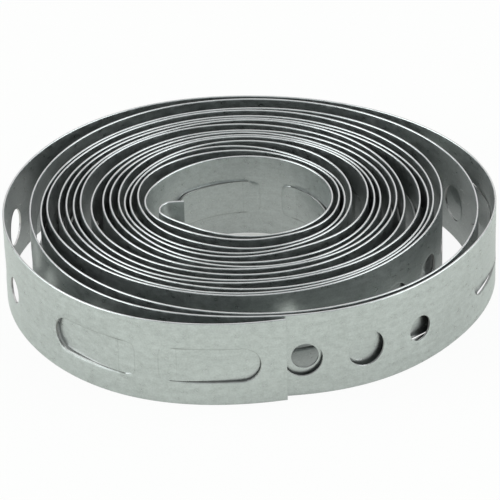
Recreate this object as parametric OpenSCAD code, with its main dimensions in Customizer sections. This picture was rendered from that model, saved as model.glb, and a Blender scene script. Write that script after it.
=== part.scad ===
// Roll of perforated galvanised strap, lying flat.
// One long strip is punched with a repeating run of holes and tongues,
// and wound anticlockwise, seen from above, from the hook at its inner end.

/* [Strap] */
// Width of the strap, which is the height of the roll
strap_w = 19; // [16:0.5:30]
// Thickness of the steel
strap_t = 0.4; // [0.3:0.02:0.5]

/* [Roll] */
// Width of the roll from its left side to its right side
roll_w = 103.6; // [86:0.1:140]

/* [Holes] */
// Diameter of the two bolt holes in each run
bolt_hole_d = 8; // [6:0.1:10]
// Diameter of the nail hole in each run
nail_hole_d = 5.6; // [3:0.1:7]
// Distance from one hole to the next
hole_pitch = 13.3; // [12:0.1:18]
// How far below the strap's middle the holes' centres lie
hole_drop = 1.1; // [0:0.1:3]
// Distance from a tongue's tip to the nail hole
tip_to_nail_hole = 19.2; // [10:0.1:24]
// Distance from the last bolt hole to the next tongue's tip
bolt_hole_to_tip = 14.4; // [10:0.1:20]

/* [Tongues] */
// Width of the slot around a tongue
slot_w = 7.7; // [5:0.1:10]
// How far below the strap's middle the slots' middle lies
slot_drop = 0.4; // [0:0.1:3]
// Length of the slot from its round tip to the tongue's fold
slot_len = 18.5; // [14:0.1:24]
// Distance between the folds of a pair of tongues
fold_gap = 9.4; // [6:0.1:16]
// Width of the cut between a tongue and the strap
cut_w = 0.1; // [0.05:0.05:0.5]
// How far a tongue's tip is pushed in towards the middle of the roll, where it has room
tongue_push = 1.3; // [0:0.1:1.8]
// Distance from the end of the strap to the first tongue's tip
end_margin = 5.2; // [3:0.1:8]

/* [Hidden] */

// Radius of the strap's middle every 30 degrees anticlockwise from the front, one row for each turn
// from the inside, in a unit that the roll's width sets.
turn_step = 30;
lead_in = [36.0, 30.0, 27.0];
turns = [
    [26.5, 28.0, 30.5, 33.5, 35.5, 38.0, 39.5, 40.5, 41.5, 42.5, 34.5, 30.5],
    [29.5, 30.0, 34.0, 36.0, 39.0, 41.0, 44.5, 47.0, 48.5, 44.0, 40.0, 36.5],
    [36.5, 36.5, 38.0, 38.5, 40.5, 42.5, 48.0, 51.5, 50.0, 48.0, 44.5, 41.5],
    [40.0, 38.5, 40.0, 41.0, 44.5, 49.5, 53.0, 53.5, 51.5, 50.5, 46.5, 44.5],
    [42.5, 41.0, 45.0, 47.5, 51.5, 54.0, 56.5, 58.0, 56.0, 52.5, 49.0, 48.5],
    [47.0, 48.0, 49.5, 50.5, 53.0, 55.5, 58.0, 59.5, 59.0, 56.0, 52.0, 50.5],
    [50.5, 51.5, 52.0, 53.0, 55.0, 57.0, 60.5, 62.0, 61.5, 59.0, 56.0, 54.5],
    [52.0, 53.0, 55.0, 57.0, 58.5, 60.5, 62.0, 64.5, 64.0, 64.0, 61.5, 58.0],
    [56.5, 56.5, 57.5, 59.5, 62.0, 64.0, 67.5, 70.5, 71.0, 68.0, 65.0, 62.5],
    [60.5, 61.5, 63.5, 62.5, 64.5, 68.5, 71.5, 72.0, 72.5, 71.0, 68.5, 65.5],
    [62.5, 63.0, 66.5, 69.0, 70.0, 70.5, 73.0, 74.5, 75.5, 74.0, 70.5, 68.0],
    [67.5, 69.0, 70.5, 72.5, 72.0, 73.0, 75.0, 76.5, 78.0, 77.0, 74.5, 72.0],
    [70.5, 70.5, 72.0, 74.5, 76.0, 78.0, 80.0, 81.5, 82.0, 82.0, 77.5, 73.5],
    [72.25, 72.25, 73.75, 77.75, 81.25, 81.75, 81.75, 83.25, 83.75, 84.25, 84.25, 84.25],
    [85.75, 89.25, 92.75, 91.75, 90.25, 89.5, 90.0, 91.75, 90.5, 88.5, 89.0, 90.0],
    [87.5, 92.5, 94.5, 100., 97.25, 93.5, 92.5, 97.5, 99.0, 99.5, 98.5, 98.25]
];
lead_out = [92.25, 90.5, 90.5];
// Middle of the hook, from its tip, in the same unit: right and back of the roll's middle
hook = [[-26.5, 3], [-33, 3], [-37.5, 0], [-36.5, -5.5], [-32.5, -10.5]];

measured = concat(lead_in, [for (t = turns) each t], lead_out);
radii = [for (i = [0 : len(measured) - 1])     // so that the smooth curve passes through the measured radii
         (8 * measured[i] - measured[max(i - 1, 0)] - measured[min(i + 1, len(measured) - 1)]) / 6];
hook_angle = 300;                                  // where the hook joins the winding
end_angle = 368 + 360 * (len(turns) - 1);        // where the strap's outer end lies
route_step = 2;                                    // degrees from one point of the route to the next
facet_len = 4;                                     // longest flat of the bent strap
tip_swell = 0.1;                                   // how much a round tip's radius passes half its width
reach = 3;                                         // how far the cutter of a tip reaches past it
spare = 0.12;                                      // how far a cut reaches past the strap's faces
past_fold = 0.1;                                   // how far a slot's cut runs on past the fold
tongue_gap = 0.25;                                 // what a pushed tongue keeps clear of the next turn
rows_in = len(lead_in) * turn_step;                // the winding's angle at the first radius

// Cubic B-spline through four neighbouring values, numbers or points
function blend(a, b, c, d, u) =
    (pow(1 - u, 3) * a + (3 * pow(u, 3) - 6 * u * u + 4) * b
     + (-3 * pow(u, 3) + 3 * u * u + 3 * u + 1) * c + pow(u, 3) * d) / 6;

// Radius of the winding at an angle that grows by 360 in each turn
function radius(angle) =
    let (x = (angle + rows_in) / turn_step, i = floor(x), last = len(radii) - 1)
    blend(radii[max(i - 1, 0)], radii[i], radii[min(i + 1, last)],
          radii[min(i + 2, last)], x - i);

function wound(angle) = radius(angle) * [sin(angle), -cos(angle)];

// Hook and winding as one list of points, then from the outer end inwards
winding = [for (a = [hook_angle - 360 : route_step : end_angle]) wound(a)];
hook_guide = concat([2 * hook[0] - hook[1]], hook);
joined = concat(hook_guide, [for (i = [0 : 2]) winding[i]]);
hook_route = [for (i = [0 : len(joined) - 4], u = [0 : 0.2 : 0.9])
              blend(joined[i], joined[i + 1], joined[i + 2], joined[i + 3], u)];
inner_first = concat(hook_route, [for (i = [1 : len(winding) - 1]) winding[i]],
                     [wound(end_angle)]);
unmoved = [for (i = [len(inner_first) - 1 : -1 : 0]) inner_first[i]];

// The roll's middle is the middle of its box, and its width is as asked
xs = [for (p = unmoved) p[0]];
ys = [for (p = unmoved) p[1]];
box_middle = [(min(xs) + max(xs)) / 2, (min(ys) + max(ys)) / 2];
unit = (roll_w - strap_t) / (max(xs) - min(xs));
route = [for (p = unmoved) unit * (p - box_middle)];

// Distance along the strap of each point of the route
along = [for (i = 0, s = 0; i < len(route);
              s = s + (i + 1 < len(route) ? norm(route[i + 1] - route[i]) : 0), i = i + 1) s];
x_along = [for (i = [0 : len(route) - 1]) [along[i], route[i][0]]];
y_along = [for (i = [0 : len(route) - 1]) [along[i], route[i][1]]];
strap_len = along[len(along) - 1];

function at(s) = [lookup(s, x_along), lookup(s, y_along)];
function heading(s) = let (d = at(s + 0.8) - at(s - 0.8)) d / norm(d);
function outwards(s) = let (d = heading(s)) [-d[1], d[0]];
function beside(s, h) = at(s) + h * outwards(s);
function stations(a, b) = let (n = ceil(abs(b - a) / facet_len))
    [for (i = [0 : n]) a + (b - a) * i / n];

// Room between a place on the strap and the turn inside it
function room(s) = let (p = at(s), a = outwards(s))
    min([for (q = route) let (d = p - q, depth = d * a)
         if (depth > 2 * strap_t && norm(d - depth * a) < 3) depth, 20]) - strap_t;

// How far a tongue is pushed in: as asked, or less where the next turn is close
function push(fold, tip) =
    max(0, min(tongue_push, min([for (u = [0.4 : 0.2 : 1]) room(fold + (tip - fold) * u)]) - tongue_gap));

// Pattern
pair_len = 2 * slot_len + fold_gap;
run_len = pair_len + tip_to_nail_hole + 2 * hole_pitch + bolt_hole_to_tip;
first_tips = [for (s = end_margin; s + pair_len < strap_len - end_margin; s = s + run_len) s];
holes = [for (tip = first_tips, i = [0 : 2])
         let (s = tip + pair_len + tip_to_nail_hole + i * hole_pitch, d = i == 0 ? nail_hole_d : bolt_hole_d)
         if (s + d < strap_len) [s, d]];
slots = [for (tip = first_tips, i = [0, 1])
         [tip + slot_len + i * fold_gap, tip + i * pair_len]];
marks = concat([0], [for (slot = slots) slot[0]], [strap_len]);
places = concat([for (i = [0 : len(marks) - 2]) let (part = stations(marks[i], marks[i + 1]))
                 for (j = [0 : len(part) - 2]) part[j]], [strap_len]);

module bent(places, h0, h1)
    polygon(concat([for (s = places) beside(s, h0)],
                   [for (i = [len(places) - 1 : -1 : 0]) beside(places[i], h1)]));

// Stands its children at a place along the strap, this far below its middle: X along it, Z outwards
module standing(s, drop) {
    p = at(s);
    d = heading(s);
    translate([p[0], p[1], strap_w / 2 - drop]) rotate([0, 0, atan2(d[1], d[0])]) rotate([-90, 0, 0])
        children();
}

// How far the strap bends inwards, away from a flat of this width
function sag(s, w) = (heading(s - w / 2) - heading(s + w / 2)) * outwards(s) * w / 8;

module hole(s, d)
    standing(s, hole_drop) translate([0, 0, -strap_t / 2 - spare - max(0, sag(s, d))])
        cylinder(d = d, h = strap_t + 2 * spare + abs(sag(s, d)), $fn = 48);

// All that lies past the round tip of a slot or tongue of this width
module past_tip(tip, way, w) {
    r = w / 2 + tip_swell;
    standing(tip - way * r, slot_drop) difference() {
        translate([way > 0 ? 0 : -2 * reach, -r - 1, -reach]) cube([2 * reach, 2 * r + 2, 2 * reach]);
        translate([0, 0, -reach - 1]) cylinder(r = r, h = 2 * reach + 2, $fn = 48);
    }
}

module slot(fold, tip) {
    way = sign(tip - fold);
    difference() {
        translate([0, 0, (strap_w - slot_w) / 2 - slot_drop]) linear_extrude(slot_w)
            bent(stations(fold - way * past_fold, tip + way), -strap_t / 2 - spare, strap_t / 2 + spare);
        past_tip(tip, way, slot_w);
    }
}

// Two tongues and the strap between their folds, as one band
module tongues(a, b) {
    w = slot_w - 2 * cut_w;
    ends = [a[1] - cut_w * sign(a[1] - a[0]), b[1] - cut_w * sign(b[1] - b[0])];
    difference() {
        translate([0, 0, (strap_w - w) / 2 - slot_drop]) linear_extrude(w)
            band(concat(sunk(a, true), flat(a[0], b[0]), sunk(b, false)));
        past_tip(ends[0], -1, w);
        past_tip(ends[1], 1, w);
    }
}

// Places on a tongue and their depth, from its tip or its fold, and those of the strap between two folds
function sunk(slot, from_tip) =
    let (way = sign(slot[1] - slot[0]), depth = push(slot[0], slot[1]), len = abs(slot[1] - slot[0]),
         places = [for (s = stations(slot[0], slot[1] + way)) [s, -depth * sin(90 * min(1, abs(s - slot[0]) / len))]])
    from_tip ? [for (i = [len(places) - 1 : -1 : 1]) places[i]] : [for (i = [1 : len(places) - 1]) places[i]];
function flat(a, b) = [for (s = stations(a, b)) [s, 0]];

module band(p)
    polygon(concat([for (i = [0 : len(p) - 1]) beside(p[i][0], p[i][1] - strap_t / 2)],
                   [for (i = [len(p) - 1 : -1 : 0]) beside(p[i][0], p[i][1] + strap_t / 2)]));

module strap()
    color("lightgrey") {
        difference() {
            linear_extrude(strap_w) bent(places, -strap_t / 2, strap_t / 2);
            for (h = holes) hole(h[0], h[1]);
            for (s = slots) slot(s[0], s[1]);
        }
        for (i = [0 : 2 : len(slots) - 1]) tongues(slots[i], slots[i + 1]);
    }

strap();
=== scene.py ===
import math

import bmesh
import bpy
from mathutils import Matrix, Vector
from mathutils.geometry import delaunay_2d_cdt


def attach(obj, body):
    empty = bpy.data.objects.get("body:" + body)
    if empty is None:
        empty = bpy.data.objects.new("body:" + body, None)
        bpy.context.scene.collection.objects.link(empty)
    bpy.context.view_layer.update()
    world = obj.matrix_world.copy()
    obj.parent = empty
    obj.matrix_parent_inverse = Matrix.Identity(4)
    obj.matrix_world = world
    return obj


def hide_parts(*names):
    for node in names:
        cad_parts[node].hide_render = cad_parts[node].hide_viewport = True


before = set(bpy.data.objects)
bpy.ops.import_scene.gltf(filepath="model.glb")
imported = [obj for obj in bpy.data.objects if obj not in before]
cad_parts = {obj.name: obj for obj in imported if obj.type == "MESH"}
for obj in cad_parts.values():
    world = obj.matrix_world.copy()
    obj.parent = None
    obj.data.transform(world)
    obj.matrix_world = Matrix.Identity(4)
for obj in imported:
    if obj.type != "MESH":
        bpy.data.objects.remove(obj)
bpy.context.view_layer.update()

strap = {
    "width": 0.019,
    "thickness": 0.0004,
    "runLength": 0.1066,       # the pattern repeats after this much strap
    "endMargin": 0.0052,       # from the square end to the first tongue's tip
    "slotWidth": 0.0077,
    "slotDrop": 0.0004,        # how far below the strap's middle the slots lie
    "slotLength": 0.0185,      # from the tip to the end of the cut
    "foldGap": 0.0094,
    "tipToNailHole": 0.0192,
    "holePitch": 0.0133,
    "nailHole": 0.0056,
    "boltHole": 0.008,
    "holeDrop": 0.0011,
    "cut": 0.00006,            # width of the sheared cut round a tongue
    "push": {"A": 0.0007, "B": 0.00085},    # how far each tip is pushed in, where it has room
    "pushRoom": 0.0003,        # what a pushed tongue keeps clear of the next turn
    "pushTried": (0.4, 0.6, 0.8, 1.0),    # shares of a tongue's length where that room is measured
    "besideReach": 0.0015,     # the next turn's points count when they lie this near along the strap
    "bendAt": 0.017,           # from a tongue's tip to the bend that it is pushed in from
    "lipWidth": 0.0007,        # the strap's edge beside a cut is drawn in with the tongue
    "lipDepth": 0.00014,
    "lipStart": 0.002,         # the lip grows to its full depth over this length from the fold
    "lipRings": (0.3, 0.62, 1),
    "dishLength": 0.0022,      # how far a tongue's shallow dish runs on past the end of the cut
    "dishRim": 0.0005,
    "dishDepth": 0.00012,
    "dishSideSteepness": 1.6,
    "dishRings": (-1.6, -0.35, 0, 0.35, 1),    # shares of the rim, below zero outside the dish
    "holeRim": 0.0005,         # the width over which the strap is drawn in round a hole
    "holeRimDepth": 0.00007,
    "holeRings": (0.4, 1),
    "shadePainted": 0.00016,         # painted shade reaches this near to a cut or crease
    # how dark the painted shade is on the strap's edge at a cut, and along a crease
    "cutShade": 0.8,
    "creaseShade": 0.35,
    "edgeRound": 0.00009,      # how far the rolled edges are rounded
    "edgeBlend": 0.0003,       # the width over which the flat runs into that rounding
    "leastFlat": 0.0012,       # points of the route nearer than this would kink it
    "routeSteps": 8,           # steps of the smooth route between two of its points
    "columnStep": 0.0016,      # how finely the flat strip is divided along its length
    "arcSides": 28,            # sides of a full round hole
    "dishSides": 16,
    "weld": 0.000002,
    "sharpOver": 55,           # edges that turn by more degrees than this stay sharp
}

samePlace = 0.000001           # two measures nearer than this, in metres, are one
edgeSpare = 0.00001            # a point this near outside a tongue's edge belongs to the tongue


def addNode(tree, kind, values=None, **settings):
    node = tree.nodes.new(kind)
    for name, value in settings.items():
        setattr(node, name, value)
    for name, value in (values or {}).items():
        feed(tree, node.inputs[name], value)
    return node


def feed(tree, socket, value):
    if isinstance(value, bpy.types.NodeSocket):
        tree.links.new(value, socket)
    else:
        socket.default_value = value


def mathNode(tree, operation, *values):
    return addNode(tree, "ShaderNodeMath", dict(enumerate(values)), operation=operation).outputs[0]


def vectorNode(tree, operation, *values, scale=None, output="Vector"):
    given = dict(enumerate(values))
    if scale is not None:
        given["Scale"] = scale
    return addNode(tree, "ShaderNodeVectorMath", given, operation=operation).outputs[output]


# The route is the middle of the CAD strap's lower edge, from its outer end to its hook

def footLoop(node, weld=2e-7, footHeight=1e-5, levelNormal=0.9, uprightNormal=0.5):
    bm = bmesh.new()
    bm.from_mesh(node.data)
    bmesh.ops.remove_doubles(bm, verts=bm.verts, dist=weld)
    following = {}
    for face in bm.faces:
        isFoot = face.normal.z < -levelNormal and face.calc_center_median().z < footHeight
        if not isFoot:
            continue
        for loop in face.loops:
            other = [f for f in loop.edge.link_faces if f is not face]
            isUpright = any(abs(f.normal.z) < uprightNormal for f in other)
            if isUpright:
                following[loop.vert.index] = (loop.link_loop_next.vert.index, loop.vert.co.copy())
    start = next(iter(following))
    loop, at = [], start
    while True:
        at, place = following[at]
        loop.append(Vector((place.x, place.y)))
        if at == start:
            break
    bm.free()
    return loop


def stripRoute(node, size):
    loop = footLoop(node)
    count = len(loop)
    shortEdge = 1.5 * size["thickness"]
    # the square ends are the outermost and the innermost of the loop's short edges
    shortEdges = [i for i in range(count) if (loop[i] - loop[(i + 1) % count]).length < shortEdge]
    outer = max(shortEdges, key=lambda i: loop[i].length)
    inner = min(shortEdges, key=lambda i: loop[i].length)
    side = [loop[(outer + 1 + i) % count] for i in range((inner - outer) % count)]
    inwards = (loop[outer] - loop[outer + 1]).normalized()
    middle = []
    for i, point in enumerate(side):
        ahead, behind = side[min(i + 1, len(side) - 1)], side[max(i - 1, 0)]
        along = (ahead - behind).normalized()
        across = Vector((-along.y, along.x))
        if i == 0:
            turn = 1 if across.dot(inwards) > 0 else -1
        middle.append(point + across * turn * size["thickness"] / 2)
    kept = [middle[0]]
    for point in middle[1:-1]:
        if min((point - kept[-1]).length, (point - middle[-1]).length) > size["leastFlat"]:
            kept.append(point)
    return kept + [middle[-1]]


def smoothed(points, steps):
    spans = [(b - a).length for a, b in zip(points, points[1:])]
    slopes = [(b - a) / w for a, b, w in zip(points, points[1:], spans)]
    tangents = [slopes[0]]
    for (before, after), (short, long) in zip(zip(slopes, slopes[1:]), zip(spans, spans[1:])):
        tangents.append((after * short + before * long) / (short + long))
    tangents.append(slopes[-1])
    fine = []
    for i, w in enumerate(spans):
        for k in range(steps):
            u = k / steps
            fine.append(points[i] * (2 * u ** 3 - 3 * u ** 2 + 1)
                        + points[i + 1] * (3 * u ** 2 - 2 * u ** 3)
                        + tangents[i] * w * (u ** 3 - 2 * u ** 2 + u)
                        + tangents[i + 1] * w * (u ** 3 - u ** 2))
    return fine + [points[-1]]


def lengthsAlong(points):
    total, lengths = 0.0, [0.0]
    for a, b in zip(points, points[1:]):
        total += (b - a).length
        lengths.append(total)
    return lengths


def placeOn(route, lengths, s):
    low, high = 0, len(lengths) - 1
    while high - low > 1:
        middle = (low + high) // 2
        low, high = (middle, high) if lengths[middle] <= s else (low, middle)
    share = (s - lengths[low]) / (lengths[high] - lengths[low])
    along = (route[high] - route[low]).normalized()
    return route[low].lerp(route[high], share), Vector((-along.y, along.x))


def pushOf(route, lengths, fold, tip, depth, size):
    for share in size["pushTried"]:
        place, outwards = placeOn(route, lengths, fold + (tip - fold) * share)
        for other in route:
            apart = place - other
            room = apart.dot(outwards)
            if room > size["thickness"] / 2 and (apart - room * outwards).length < size["besideReach"]:
                depth = min(depth, room - size["thickness"] - size["pushRoom"])
    return max(depth, 0.0)


# One run of the flat strip: x along it, y across it, z outwards

def slotMiddle(size):
    return size["width"] / 2 - size["slotDrop"]


def holeMiddle(size):
    return size["width"] / 2 - size["holeDrop"]


def tongueEnds(size):
    first = size["endMargin"]
    last = first + 2 * size["slotLength"] + size["foldGap"]
    return [(first + size["slotLength"], first), (last - size["slotLength"], last)]


def roundHoles(size):
    x = size["endMargin"] + 2 * size["slotLength"] + size["foldGap"] + size["tipToNailHole"]
    diameters = (size["nailHole"], size["boltHole"], size["boltHole"])
    return [(x + i * size["holePitch"], d / 2) for i, d in enumerate(diameters)]


def wayOf(fold, tip):
    return 1 if tip > fold else -1


def arcPoints(cx, cy, r, first, last, sides):
    angles = [math.radians(first + (last - first) * i / sides) for i in range(sides + 1)]
    return [Vector((cx + r * math.cos(a), cy + r * math.sin(a))) for a in angles]


def tongueOutline(fold, tip, r, cy, sides):
    arc = arcPoints(0, cy, r, -90, 90, sides)
    return ([Vector((fold, cy - r))]
            + [Vector((tip - wayOf(fold, tip) * (r - p.x), p.y)) for p in arc]
            + [Vector((fold, cy + r))])


def ovalReach(u):
    return (1 - min(abs(u), 1) ** 4) ** 0.25                 # a squarish half oval, 1 at its middle


def dishOutline(fold, tip, reach, r, cy, sides):
    levels = [-1 + 2 * i / sides for i in range(sides + 1)]
    return [Vector((fold - wayOf(fold, tip) * reach * ovalReach(u), cy + r * u)) for u in levels]


def inTongue(p, fold, tip, r, cy, spare=0.0):
    way = wayOf(fold, tip)
    past, up = (p.x - tip) * way + r, abs(p.y - cy)
    return ((p.x - fold) * way > -spare and up < r + spare
            and (past < 0 or past ** 2 + up ** 2 < (r + spare) ** 2))


def onTongue(p, fold, tip, size):
    return inTongue(p, fold, tip - wayOf(fold, tip) * size["cut"], size["slotWidth"] / 2 - size["cut"],
                    slotMiddle(size), edgeSpare)


def runLines(size, length):
    slotY, slotR = slotMiddle(size), size["slotWidth"] / 2
    points, edges, openings = [], [], []

    def addLine(line):
        first = len(points)
        points.extend(line)
        edges.extend((first + i, first + i + 1) for i in range(len(line) - 1))

    def addOpening(outline):
        openings.append(list(range(len(points), len(points) + len(outline))))
        points.extend(outline)

    def addHole(x, r):
        addOpening(arcPoints(x, holeMiddle(size), r, 0, 360, size["arcSides"])[:-1])
        for share in size["holeRings"]:
            addLine(arcPoints(x, holeMiddle(size), r + size["holeRim"] * share, 0, 360, size["arcSides"]))

    def addTongue(fold, tip):
        way = wayOf(fold, tip)

        def grown(by):
            return tongueOutline(fold, tip + way * by, slotR + by, slotY, size["arcSides"] // 2)

        inside = grown(-size["cut"])
        addOpening((grown(0) + inside[::-1])[::way])
        addLine([inside[0], inside[-1]])                     # the fold
        # this ring bounds the painted shade on the tongue's border
        addLine(grown(-(size["cut"] + size["shadePainted"])))
        bend = tip - way * size["bendAt"]
        # the bend, with a line on either side that bounds the painted shade along it
        for aside in (-size["shadePainted"], 0, size["shadePainted"]):
            addLine([Vector((bend + aside, slotY - slotR + size["cut"])),
                     Vector((bend + aside, slotY + slotR - size["cut"]))])
        for share in size["lipRings"]:
            addLine(grown(size["lipWidth"] * share))
        for share in size["dishRings"]:
            narrow = size["dishRim"] * share
            addLine(dishOutline(fold, tip, size["dishLength"] - narrow, slotR - narrow, slotY,
                                size["dishSides"]))

    columns = max(int(round(length / size["columnStep"])), 1)
    for i in range(columns + 1):
        x = length * i / columns
        addLine([Vector((x, 0)), Vector((x, size["width"]))])
    for y in (0, size["edgeRound"], size["edgeBlend"]):
        addLine([Vector((0, y)), Vector((length, y))])
        addLine([Vector((0, size["width"] - y)), Vector((length, size["width"] - y))])
    for x, r in roundHoles(size):
        if x + 2 * r < length:
            addHole(x, r)
    for fold, tip in tongueEnds(size):
        if max(fold, tip) + size["endMargin"] < length:
            addTongue(fold, tip)
    return points, edges, openings


def flatRun(size, length, samePoint=1e-8):
    points, edges, openings = runLines(size, length)
    places, _, faces, _, _, within = delaunay_2d_cdt(points, edges, openings, 0, samePoint)
    faces = [f for f, cutBy in zip(faces, within) if not cutBy]
    used = sorted({i for f in faces for i in f})
    number = {old: new for new, old in enumerate(used)}
    flat = [places[i] for i in used]
    faces = [[number[i] for i in f] for f in faces]
    facesUp = [(flat[f[1]] - flat[f[0]]).cross(flat[f[2]] - flat[f[0]]) > 0 for f in faces]
    return flat, [f if up else f[::-1] for f, up in zip(faces, facesUp)]


def wallEdges(flat, faces, length, startWall, endWall):
    uses = dict.fromkeys((a, b) for f in faces for a, b in zip(f, f[1:] + f[:1]))
    rim = [(a, b) for a, b in uses if (b, a) not in uses]

    def isSeam(a, b):
        atStart = max(flat[a].x, flat[b].x) < samePlace
        atEnd = min(flat[a].x, flat[b].x) > length - samePlace
        return (atStart and not startWall) or (atEnd and not endWall)

    return [(a, b) for a, b in rim if not isSeam(a, b)]


def sinkOf(p, fold, tip, size):
    if not onTongue(p, fold, tip, size):
        return 0.0
    past = (p.x - tip) * wayOf(fold, tip) + size["bendAt"]
    return math.sin(math.pi / 2 * min(max(past, 0) / size["bendAt"], 1))


def holeLip(p, x, r, size):
    beyond = math.hypot(p.x - x, p.y - holeMiddle(size)) - r
    drawn = max(1 - max(beyond, 0) / size["holeRim"], 0) ** 2
    return drawn * size["holeRimDepth"] / size["lipDepth"]


# how far a point is drawn in, and how much painted shade it gets beside cuts and creases
def tongueReliefAndShade(p, fold, tip, size):
    slotY, slotR = slotMiddle(size), size["slotWidth"] / 2
    way = wayOf(fold, tip)
    up = abs(p.y - slotY) / slotR
    past = (fold - p.x) * way
    inDish = size["dishLength"] * ovalReach(up) - past
    lip = paintedShade = 0.0
    onDishRim = past > 0 and abs(inDish) < samePlace
    onBend = abs(past + size["slotLength"] - size["bendAt"]) < samePlace
    # a painted shade line along the dish rim and along the bend
    if up < 1 and (onDishRim or onBend):
        paintedShade = size["creaseShade"]
    if up < 1 and past > 0 and inDish > 0:
        dish = min(inDish / size["dishRim"],
                   slotR * (1 - up) / size["dishRim"] * size["dishSideSteepness"], 1)
        lip = dish * dish * (3 - 2 * dish) * size["dishDepth"] / size["lipDepth"]
    if onTongue(p, fold, tip, size):
        unshaded = size["cut"] + size["shadePainted"] * 0.9           # the painted shade stops short of this ring, which stays unshaded
        # the tongue's border next to the cut gets full painted shade
        if past < -samePlace and not inTongue(p, fold, tip - way * unshaded, slotR - unshaded, slotY):
            paintedShade = 1.0
        return max(lip, size["dishDepth"] / size["lipDepth"]), paintedShade
    fromArc = (p.x - tip) * way + slotR
    beyond = (abs(p.y - slotY) if fromArc < 0 else math.hypot(fromArc, p.y - slotY)) - slotR
    along = max(-past, 0) / size["lipStart"]
    # painted shade along the strap's edge at the cut
    if abs(beyond) < samePlace and along > 0:
        paintedShade = size["cutShade"]
    drawn = max(1 - max(beyond, 0) / size["lipWidth"], 0) ** 2 * min(along, 1)
    return max(lip, drawn), paintedShade


def stripTile(name, size, length, startWall, endWall):
    flat, faces = flatRun(size, length)
    walls = wallEdges(flat, faces, length, startWall, endWall)
    count = len(flat)
    half = size["thickness"] / 2
    edge = half - size["edgeRound"]
    heights = [edge if min(p.y, size["width"] - p.y) < samePlace else half for p in flat]
    vertices = [(p.x, p.y, side * h) for side in (1, -1) for p, h in zip(flat, heights)]
    polygons = (faces + [[i + count for i in reversed(f)] for f in faces]
                + [[b, a, a + count, b + count] for a, b in walls])
    mesh = bpy.data.meshes.new(name)
    mesh.from_pydata(vertices, [], polygons)

    def store(attribute, domain, values):
        mesh.attributes.new(attribute, "FLOAT", domain).data.foreach_set("value", values)

    store("sheared", "FACE", [0.0] * (2 * len(faces)) + [1.0] * len(walls))
    for letter, (fold, tip) in zip("AB", tongueEnds(size)):
        store("sink" + letter, "POINT", [sinkOf(p, fold, tip, size) for p in flat] * 2)
    holes = [(x, r) for x, r in roundHoles(size) if x + 2 * r < length]
    lips, paintedShades = [], []
    for p in flat:
        reliefs = [tongueReliefAndShade(p, fold, tip, size) for fold, tip in tongueEnds(size)]
        lips.append(max([holeLip(p, x, r, size) for x, r in holes] + [lip for lip, _ in reliefs]))
        paintedShades.append(max(paintedShade for _, paintedShade in reliefs))
    store("lip", "POINT", lips * 2)
    # the painted shade beside cuts and creases is stored for the material
    store("paintedShade", "POINT", paintedShades * 2)
    tile = bpy.data.objects.new(name, mesh)
    bpy.context.scene.collection.objects.link(tile)
    return tile


# Geometry Nodes: the runs in a row, bent along the route

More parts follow.
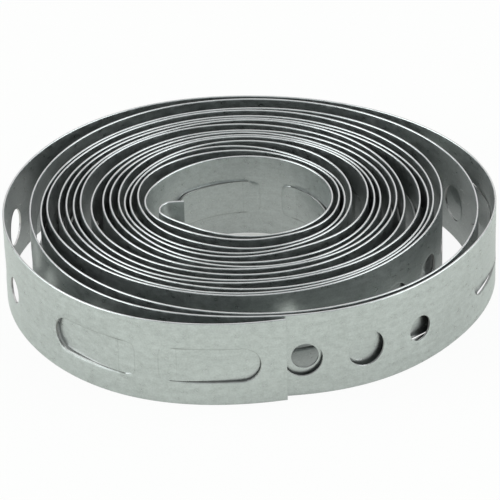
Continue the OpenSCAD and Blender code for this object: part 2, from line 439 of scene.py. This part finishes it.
def windingTree():
    tree = bpy.data.node_groups.new("windStrap", "GeometryNodeTree")
    sockets = tree.interface
    sockets.new_socket("Geometry", in_out="INPUT", socket_type="NodeSocketGeometry")
    for name, kind in (("First Run", "NodeSocketObject"), ("Middle Run", "NodeSocketObject"),
                       ("Last Run", "NodeSocketObject"), ("Route", "NodeSocketObject"),
                       ("Weld", "NodeSocketFloat"), ("Lip Depth", "NodeSocketFloat"),
                       ("Steel", "NodeSocketMaterial")):
        sockets.new_socket(name, in_out="INPUT", socket_type=kind)
    sockets.new_socket("Geometry", in_out="OUTPUT", socket_type="NodeSocketGeometry")
    given = addNode(tree, "NodeGroupInput").outputs

    def named(attribute):
        return addNode(tree, "GeometryNodeInputNamedAttribute", {"Name": attribute},
                       data_type="FLOAT").outputs["Attribute"]

    kind = named("runKind")
    row = addNode(tree, "GeometryNodeJoinGeometry")
    for number, name in enumerate(("First Run", "Middle Run", "Last Run")):
        info = addNode(tree, "GeometryNodeObjectInfo", {"Object": given[name]})
        made = addNode(tree, "GeometryNodeInstanceOnPoints",
                       {"Points": given["Geometry"], "Instance": info.outputs["Geometry"],
                        "Selection": mathNode(tree, "COMPARE", kind, number, 0.5)})
        tree.links.new(made.outputs[0], row.inputs[0])
    flat = addNode(tree, "GeometryNodeRealizeInstances", {"Geometry": row.outputs[0]})
    welded = addNode(tree, "GeometryNodeMergeByDistance",
                     {"Geometry": flat.outputs[0], "Distance": given["Weld"]})

    place = addNode(tree, "ShaderNodeSeparateXYZ",
                    {"Vector": addNode(tree, "GeometryNodeInputPosition").outputs[0]}).outputs
    strip = addNode(tree, "ShaderNodeCombineXYZ", {"X": place["X"], "Y": place["Y"]})
    mapped = addNode(tree, "GeometryNodeStoreNamedAttribute",
                     {"Geometry": welded.outputs[0], "Name": "strip", "Value": strip.outputs[0]},
                     data_type="FLOAT2", domain="CORNER")

    sunk = [mathNode(tree, "MULTIPLY", named("sink" + letter), named("push" + letter)) for letter in "AB"]
    sunk.append(mathNode(tree, "MULTIPLY", named("lip"), given["Lip Depth"]))
    height = place["Z"]
    for depth in sunk:
        height = mathNode(tree, "SUBTRACT", height, depth)

    route = addNode(tree, "GeometryNodeObjectInfo", {"Object": given["Route"]})
    sample = addNode(tree, "GeometryNodeSampleCurve",
                     {"Curves": route.outputs["Geometry"], "Length": place["X"]}, mode="LENGTH")
    across = vectorNode(tree, "CROSS_PRODUCT", (0, 0, 1), sample.outputs["Tangent"])
    outwards = vectorNode(tree, "NORMALIZE", across)
    lift = vectorNode(tree, "SCALE", outwards, scale=height)
    upwards = addNode(tree, "ShaderNodeCombineXYZ", {"Z": place["Y"]}).outputs[0]
    target = vectorNode(tree, "ADD", vectorNode(tree, "ADD", sample.outputs["Position"], lift), upwards)
    wound = addNode(tree, "GeometryNodeSetPosition", {"Geometry": mapped.outputs[0], "Position": target})
    # the route runs clockwise, which turns the bent runs inside out, so their faces are turned back
    outward = addNode(tree, "GeometryNodeFlipFaces", {"Mesh": wound.outputs[0]})
    plain = addNode(tree, "GeometryNodeRealizeInstances", {"Geometry": outward.outputs[0]})
    finished = addNode(tree, "GeometryNodeSetMaterial",
                       {"Geometry": plain.outputs[0], "Material": given["Steel"]})
    addNode(tree, "NodeGroupOutput", {"Geometry": finished.outputs[0]})
    return tree


def routeCurve(points):
    data = bpy.data.curves.new("route", "CURVE")
    data.dimensions = "3D"
    spline = data.splines.new("POLY")
    spline.points.add(len(points) - 1)
    for point, place in zip(spline.points, points):
        point.co = (place.x, place.y, 0, 1)
    curve = bpy.data.objects.new("route", data)
    bpy.context.scene.collection.objects.link(curve)
    return curve


def runStarts(route, lengths, runs, size):
    mesh = bpy.data.meshes.new("runStarts")
    mesh.from_pydata([(i * size["runLength"], 0, 0) for i in range(runs)], [], [])
    mesh.attributes.new("runKind", "FLOAT", "POINT").data.foreach_set("value", [0] + [1] * (runs - 2) + [2])
    for letter, (fold, tip) in zip("AB", tongueEnds(size)):
        pushes = []
        for i in range(runs):
            foldAt, tipAt = (min(i * size["runLength"] + x, lengths[-1]) for x in (fold, tip))
            pushes.append(pushOf(route, lengths, foldAt, tipAt, size["push"][letter], size))
        mesh.attributes.new("push" + letter, "FLOAT", "POINT").data.foreach_set("value", pushes)
    starts = bpy.data.objects.new("runStarts", mesh)
    bpy.context.scene.collection.objects.link(starts)
    return starts


def woundStrap(size, material):
    route = smoothed(stripRoute(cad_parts["strap"], size), size["routeSteps"])
    lengths = lengthsAlong(route)
    total = lengths[-1]
    runs = int(total // size["runLength"]) + 1
    rest = total - (runs - 1) * size["runLength"]
    print("route", round(total, 4), "m,", runs, "runs, the last", round(rest, 4), "m")
    tiles = {"First Run": stripTile("firstRun", size, size["runLength"], True, False),
             "Middle Run": stripTile("middleRun", size, size["runLength"], False, False),
             "Last Run": stripTile("lastRun", size, rest, False, True)}
    print("run tiles", [len(t.data.polygons) for t in tiles.values()])

    starts = runStarts(route, lengths, runs, size)
    curve = routeCurve(route)
    tree = windingTree()
    modifier = starts.modifiers.new("windStrap", "NODES")
    modifier.node_group = tree
    values = {**tiles, "Route": curve, "Weld": size["weld"],
              "Lip Depth": size["lipDepth"], "Steel": material}
    for item in tree.interface.items_tree:
        if item.item_type == "SOCKET" and item.in_out == "INPUT" and item.name in values:
            modifier[item.identifier] = values[item.name]
    graph = bpy.context.evaluated_depsgraph_get()
    wound = bpy.data.meshes.new_from_object(starts.evaluated_get(graph), depsgraph=graph)
    starts.modifiers.clear()
    for helper in (starts, curve, *tiles.values()):
        bpy.data.objects.remove(helper)
    wound.name = "strapRoll"
    wound.shade_smooth()
    wound.set_sharp_from_angle(angle=math.radians(size["sharpOver"]))
    roll = bpy.data.objects.new("strapRoll", wound)
    bpy.context.scene.collection.objects.link(roll)
    return roll


zinc = {
    "dark": (0.475, 0.50, 0.493, 1),
    "light": (0.61, 0.64, 0.632, 1),
    "edge": (0.60, 0.585, 0.575, 1),
    # the colour and the strength of the painted shade beside cuts and creases
    "paintedShadeColour": (0.16, 0.16, 0.15, 1),
    "paintedShade": 0.55,
    "markings": {              # size along and across the strap, detail, roughness, share of the shade
        "grain": (0.0004, 0.0004, 2.0, 0.6, 0.34),
        "mottle": (0.00192, 0.0012, 3.0, 0.55, 0.42),
        "cloud": (0.014, 0.0084, 2.0, 0.5, 0.12),
        "streak": (0.03, 0.0009, 2.0, 0.5, 0.12),
    },
    "darkBelow": 0.39,
    "lightAbove": 0.61,
    "smoothBelow": 0.3,        # the mottle also drives the roughness
    "roughAbove": 0.7,
    "roughLow": 0.26,
    "roughHigh": 0.40,
    "grainRelief": 0.6,
    "mottleRelief": 0.4,
    "bump": 0.06,
    "bumpDepth": 0.00004,
}


def galvanisedSteel(finish):
    material = bpy.data.materials.new("galvanisedSteel")
    material.use_nodes = True
    tree = material.node_tree
    tree.nodes.clear()
    strip = addNode(tree, "ShaderNodeUVMap", uv_map="strip").outputs["UV"]

    def mixed(factor, first, second):
        node = addNode(tree, "ShaderNodeMix", {"Factor": factor}, data_type="RGBA")
        feed(tree, node.inputs["A"], first)
        feed(tree, node.inputs["B"], second)
        return node.outputs["Result"]

    marking = {}
    shade = 0.0
    for name, (alongStrip, across, detail, roughness, share) in finish["markings"].items():
        stretched = vectorNode(tree, "MULTIPLY", strip, (1 / alongStrip, 1 / across, 1))
        marking[name] = addNode(tree, "ShaderNodeTexNoise",
                                {"Vector": stretched, "Scale": 1.0, "Detail": detail,
                                 "Roughness": roughness}).outputs[0]
        shade = mathNode(tree, "MULTIPLY_ADD", marking[name], share, shade)
    shade = addNode(tree, "ShaderNodeMapRange", {"Value": shade, "From Min": finish["darkBelow"],
                                                 "From Max": finish["lightAbove"]}).outputs[0]
    sheared = addNode(tree, "ShaderNodeAttribute", attribute_name="sheared").outputs["Fac"]
    # the strap's stored mask of painted shade beside cuts and creases, mixed into the metal colour below
    paintedShade = addNode(tree, "ShaderNodeAttribute", attribute_name="paintedShade").outputs["Fac"]
    face = mixed(shade, finish["dark"], finish["light"])
    metal = mixed(sheared, face, finish["edge"])
    shadePainted = mixed(mathNode(tree, "MULTIPLY", paintedShade, finish["paintedShade"]), metal, finish["paintedShadeColour"])
    rough = addNode(tree, "ShaderNodeMapRange",
                    {"Value": marking["mottle"], "From Min": finish["smoothBelow"],
                     "From Max": finish["roughAbove"], "To Min": finish["roughLow"],
                     "To Max": finish["roughHigh"]})
    mottled = mathNode(tree, "MULTIPLY", marking["mottle"], finish["mottleRelief"])
    relief = mathNode(tree, "MULTIPLY_ADD", marking["grain"], finish["grainRelief"], mottled)
    bump = addNode(tree, "ShaderNodeBump", {"Strength": finish["bump"], "Distance": finish["bumpDepth"],
                                            "Height": relief})
    shader = addNode(tree, "ShaderNodeBsdfPrincipled",
                     {"Metallic": 1.0, "Roughness": rough.outputs[0], "Normal": bump.outputs[0],
                      "Base Color": shadePainted})
    addNode(tree, "ShaderNodeOutputMaterial", {"Surface": shader.outputs[0]})
    return material


steel = galvanisedSteel(zinc)
roll = woundStrap(strap, steel)
print("strap", len(roll.data.polygons), "faces")
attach(roll, "root")
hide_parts("strap")

room = {
    "floorSize": 8,
    "floor": (0.61, 0.64, 0.575, 1),
    "floorGlow": 0.93,         # share of the floor that shows as plain white; the rest keeps the shadow
    "boreGlow": 0.1,           # the same inside the bore, where the floor lies in deep shadow
    "boreCentre": (0, 0.002, 0),
    "boreRadius": 0.02,
    "boreFade": (0.8, 1.1),    # shares of that radius between which the one glow runs into the other
    "mirroredGlow": 0.3,       # the same in the steel, which has to stay dark between the turns
    "world": 0.5,
    "worldColour": (0.94, 0.975, 1, 1),
    "lights": {                # place, size, power and colour
        "leftLight": ((-1.1, -0.1, 0.45), 1.3, 18, (0.95, 0.99, 1)),
        "rightLight": ((1.1, -0.1, 0.45), 1.3, 14.5, (0.95, 0.99, 1)),
        "topLight": ((0, 0, 1.2), 1.2, 3, (1, 1, 1)),
        "backLight": ((0.1, 1.1, 0.65), 1.1, 2.4, (1, 1, 1)),
    },
}


def studioWhite(values):
    material = bpy.data.materials.new("studioWhite")
    material.use_nodes = True
    tree = material.node_tree
    tree.nodes.clear()
    matt = addNode(tree, "ShaderNodeBsdfDiffuse", {"Color": values["floor"]})
    glow = addNode(tree, "ShaderNodeEmission", {"Color": (1, 1, 1, 1), "Strength": 1.0})
    path = addNode(tree, "ShaderNodeLightPath").outputs
    mirrored = mathNode(tree, "MAXIMUM", path["Is Glossy Ray"], path["Is Transmission Ray"])
    place = addNode(tree, "ShaderNodeNewGeometry").outputs["Position"]
    offset = vectorNode(tree, "DISTANCE", place, values["boreCentre"], output="Value")
    fadeStart, fadeEnd = values["boreFade"]
    glowing = addNode(tree, "ShaderNodeMapRange",
                      {"Value": offset, "From Min": values["boreRadius"] * fadeStart,
                       "From Max": values["boreRadius"] * fadeEnd, "To Min": values["boreGlow"],
                       "To Max": values["floorGlow"]}).outputs[0]
    seen = mathNode(tree, "MAXIMUM", mathNode(tree, "MULTIPLY", path["Is Camera Ray"], glowing),
                    mathNode(tree, "MULTIPLY", mirrored, values["mirroredGlow"]))
    mix = addNode(tree, "ShaderNodeMixShader", {0: seen, 1: matt.outputs[0], 2: glow.outputs[0]})
    addNode(tree, "ShaderNodeOutputMaterial", {"Surface": mix.outputs[0]})
    return material


def studioFloor(values):
    bpy.ops.mesh.primitive_plane_add(size=values["floorSize"], location=(0, 0, 0))
    floor = bpy.context.object
    floor.name = "studioFloor"
    floor.data.materials.append(studioWhite(values))


def softLight(name, place, size, power, colour):
    data = bpy.data.lights.new(name, "AREA")
    data.shape, data.size, data.energy, data.color = "SQUARE", size, power, colour
    light = bpy.data.objects.new(name, data)
    bpy.context.scene.collection.objects.link(light)
    light.location = place
    light.rotation_euler = (-Vector(place)).to_track_quat("-Z", "Y").to_euler()


def studio(values):
    studioFloor(values)
    world = bpy.data.worlds.new("studio")
    bpy.context.scene.world = world
    world.use_nodes = True
    background = world.node_tree.nodes["Background"]
    background.inputs["Color"].default_value = values["worldColour"]
    background.inputs["Strength"].default_value = values["world"]
    for name, (place, size, power, colour) in values["lights"].items():
        softLight(name, place, size, power, colour)


camera = {
    "place": (-0.00014, -0.63864, 0.38042),
    "down": 30.28,             # degrees below the horizon
    "roll": -1.558,
    "lens": 252.0,
    "sensor": 36.0,
    "clip": (0.01, 20),
}


def placeCamera(values):
    data = bpy.data.cameras.new("camera")
    data.lens, data.sensor_width = values["lens"], values["sensor"]
    data.clip_start, data.clip_end = values["clip"]
    item = bpy.data.objects.new("camera", data)
    bpy.context.scene.collection.objects.link(item)
    turn = (Matrix.Rotation(math.radians(90 - values["down"]), 4, "X")
            @ Matrix.Rotation(math.radians(values["roll"]), 4, "Z"))
    item.matrix_world = Matrix.Translation(values["place"]) @ turn
    bpy.context.scene.camera = item


studio(room)
placeCamera(camera)
bpy.context.scene.view_settings.view_transform = "Standard"
print("studio and camera placed")
